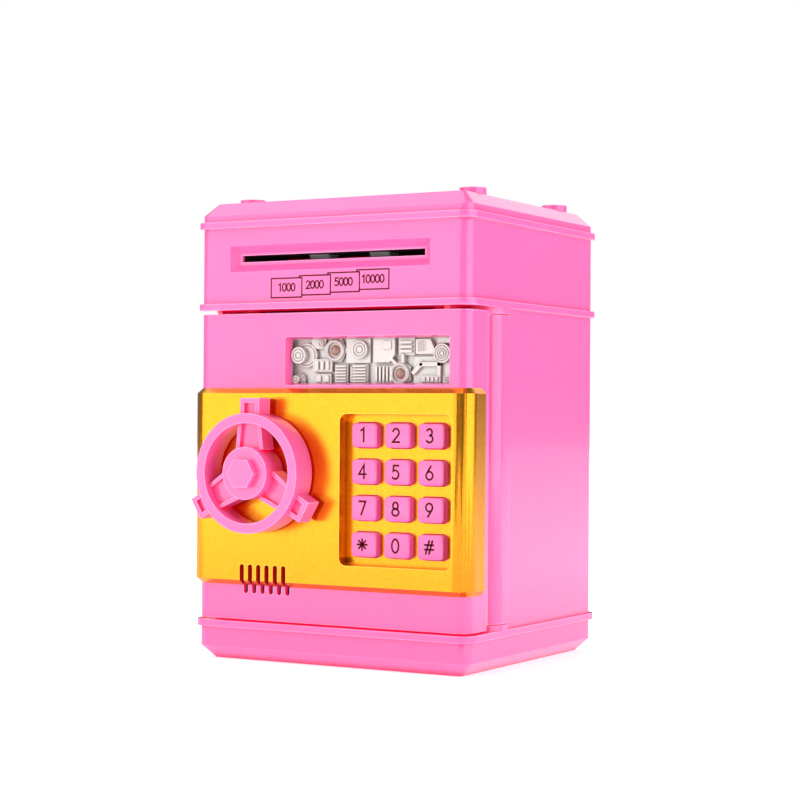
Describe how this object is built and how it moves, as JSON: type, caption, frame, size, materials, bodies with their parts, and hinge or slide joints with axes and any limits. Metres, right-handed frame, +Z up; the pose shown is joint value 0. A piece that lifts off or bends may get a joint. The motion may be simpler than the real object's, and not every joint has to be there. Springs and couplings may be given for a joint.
{
  "type": "toy safe coin bank",
  "caption": "Toy safe bank with a hinged keypad door, a handwheel that turns the latch, a motor-fed bill slot and a coin slot in the lid.",
  "frame": {"origin": "centre of the body's footprint, on the flat underside the bank stands on", "axes": "+Z up, +X to the right seen from the front, -Y out of the door's front face"},
  "size_m": [0.127, 0.134, 0.1866],
  "materials": {
    "pink_plastic": "high gloss moulded",
    "gold_coat": "metallic gold coating, fine grain, satin gloss",
    "silver_coat": "metallic silver coating",
    "led_body": "tinted clear resin",
    "steel_bright": "nickel plated",
    "spring_metal": "plain spring steel",
    "cell_wrap": "printed sleeve",
    "grey_plastic": "moulded, matt",
    "white_plastic": "moulded acetal",
    "black_plastic": "moulded, matt",
    "motor_can": "zinc plated",
    "roller_rubber": "soft grooved rubber",
    "silicone": "moulded silicone",
    "circuit_board": "solder mask"
  },
  "bodies": {
    "case": {"base_tray": "pink_plastic", "battery_cover": "pink_plastic", "battery_cover_screw": "steel_bright", "aa_batteries": "cell_wrap", "battery_contacts": "spring_metal", "base_deck": "pink_plastic", "base_screws": "steel_bright", "main_shell": "pink_plastic", "strike_plate": "steel_bright", "hinge_pins": "steel_bright", "upper_housing": "pink_plastic", "housing_screws": "steel_bright", "top_cap": "pink_plastic", "coin_chute": "grey_plastic", "bill_guide": "grey_plastic", "upper_guide": "grey_plastic", "guide_screws": "steel_bright", "feed_motor": "motor_can", "bill_sensor": "black_plastic"},
    "door": {"door_shell": "pink_plastic", "gold_panel": "gold_coat", "relief_plate": "silver_coat", "led_red": "led_body", "led_green": "led_body", "door_back": "pink_plastic", "door_screws": "steel_bright", "keypad_membrane": "silicone", "main_pcb": "circuit_board", "speaker": "black_plastic", "lock_solenoid": "motor_can"},
    "wheel": {"handwheel": "pink_plastic", "wheel_spindle": "steel_bright", "latch_cam": "white_plastic", "cam_screw": "steel_bright"},
    "plunger": {"solenoid_plunger": "steel_bright"},
    "feed_drive": {"feed_shaft": "steel_bright", "feed_rollers": "roller_rubber", "feed_gear": "white_plastic"},
    "pinion": {"motor_pinion": "white_plastic"},
    "pinch": {"pinch_shaft": "steel_bright", "pinch_rollers": "white_plastic"},
    "key_1_body": {"key_1": "pink_plastic"},
    "key_2_body": {"key_2": "pink_plastic"},
    "key_3_body": {"key_3": "pink_plastic"},
    "key_4_body": {"key_4": "pink_plastic"},
    "key_5_body": {"key_5": "pink_plastic"},
    "key_6_body": {"key_6": "pink_plastic"},
    "key_7_body": {"key_7": "pink_plastic"},
    "key_8_body": {"key_8": "pink_plastic"},
    "key_9_body": {"key_9": "pink_plastic"},
    "key_star_body": {"key_star": "pink_plastic"},
    "key_0_body": {"key_0": "pink_plastic"},
    "key_hash_body": {"key_hash": "pink_plastic"}
  },
  "joints": [
    {"name": "door_swing", "type": "hinge", "parent": "case", "child": "door", "pos_m": [0.0565, -0.0305, 0.0779], "axis": [0, 0, 1], "range_deg": [0, 100]},
    {"name": "wheel_turn", "type": "hinge", "parent": "door", "child": "wheel", "pos_m": [-0.0282, -0.0661, 0.0754], "axis": [0, 1, 0], "range_deg": [0, 90]},
    {"name": "plunger_slide", "type": "slide", "parent": "door", "child": "plunger", "axis": [1, 0, 0], "range_m": [-0.003, 0]},
    {"name": "feed_spin", "type": "hinge", "parent": "case", "child": "feed_drive", "pos_m": [0, -0.038, 0.1517], "axis": [1, 0, 0], "continuous": true},
    {"name": "motor_spin", "type": "hinge", "parent": "case", "child": "pinion", "pos_m": [0.0495, -0.02745, 0.1517], "axis": [1, 0, 0], "continuous": true},
    {"name": "pinch_spin", "type": "hinge", "parent": "case", "child": "pinch", "pos_m": [0, -0.038, 0.1649], "axis": [1, 0, 0], "continuous": true},
    {"name": "key_1_press", "type": "slide", "parent": "door", "child": "key_1_body", "axis": [0, 1, 0], "range_m": [0, 0.0012], "stiffness_N_per_m": 1000},
    {"name": "key_2_press", "type": "slide", "parent": "door", "child": "key_2_body", "axis": [0, 1, 0], "range_m": [0, 0.0012], "stiffness_N_per_m": 1000},
    {"name": "key_3_press", "type": "slide", "parent": "door", "child": "key_3_body", "axis": [0, 1, 0], "range_m": [0, 0.0012], "stiffness_N_per_m": 1000},
    {"name": "key_4_press", "type": "slide", "parent": "door", "child": "key_4_body", "axis": [0, 1, 0], "range_m": [0, 0.0012], "stiffness_N_per_m": 1000},
    {"name": "key_5_press", "type": "slide", "parent": "door", "child": "key_5_body", "axis": [0, 1, 0], "range_m": [0, 0.0012], "stiffness_N_per_m": 1000},
    {"name": "key_6_press", "type": "slide", "parent": "door", "child": "key_6_body", "axis": [0, 1, 0], "range_m": [0, 0.0012], "stiffness_N_per_m": 1000},
    {"name": "key_7_press", "type": "slide", "parent": "door", "child": "key_7_body", "axis": [0, 1, 0], "range_m": [0, 0.0012], "stiffness_N_per_m": 1000},
    {"name": "key_8_press", "type": "slide", "parent": "door", "child": "key_8_body", "axis": [0, 1, 0], "range_m": [0, 0.0012], "stiffness_N_per_m": 1000},
    {"name": "key_9_press", "type": "slide", "parent": "door", "child": "key_9_body", "axis": [0, 1, 0], "range_m": [0, 0.0012], "stiffness_N_per_m": 1000},
    {"name": "key_star_press", "type": "slide", "parent": "door", "child": "key_star_body", "axis": [0, 1, 0], "range_m": [0, 0.0012], "stiffness_N_per_m": 1000},
    {"name": "key_0_press", "type": "slide", "parent": "door", "child": "key_0_body", "axis": [0, 1, 0], "range_m": [0, 0.0012], "stiffness_N_per_m": 1000},
    {"name": "key_hash_press", "type": "slide", "parent": "door", "child": "key_hash_body", "axis": [0, 1, 0], "range_m": [0, 0.0012], "stiffness_N_per_m": 1000}
  ],
  "couplings": [
    {"joint": "motor_spin", "follows": "feed_spin", "ratio": -2.5},
    {"joint": "pinch_spin", "follows": "feed_spin", "ratio": -1.8444}
  ]
}
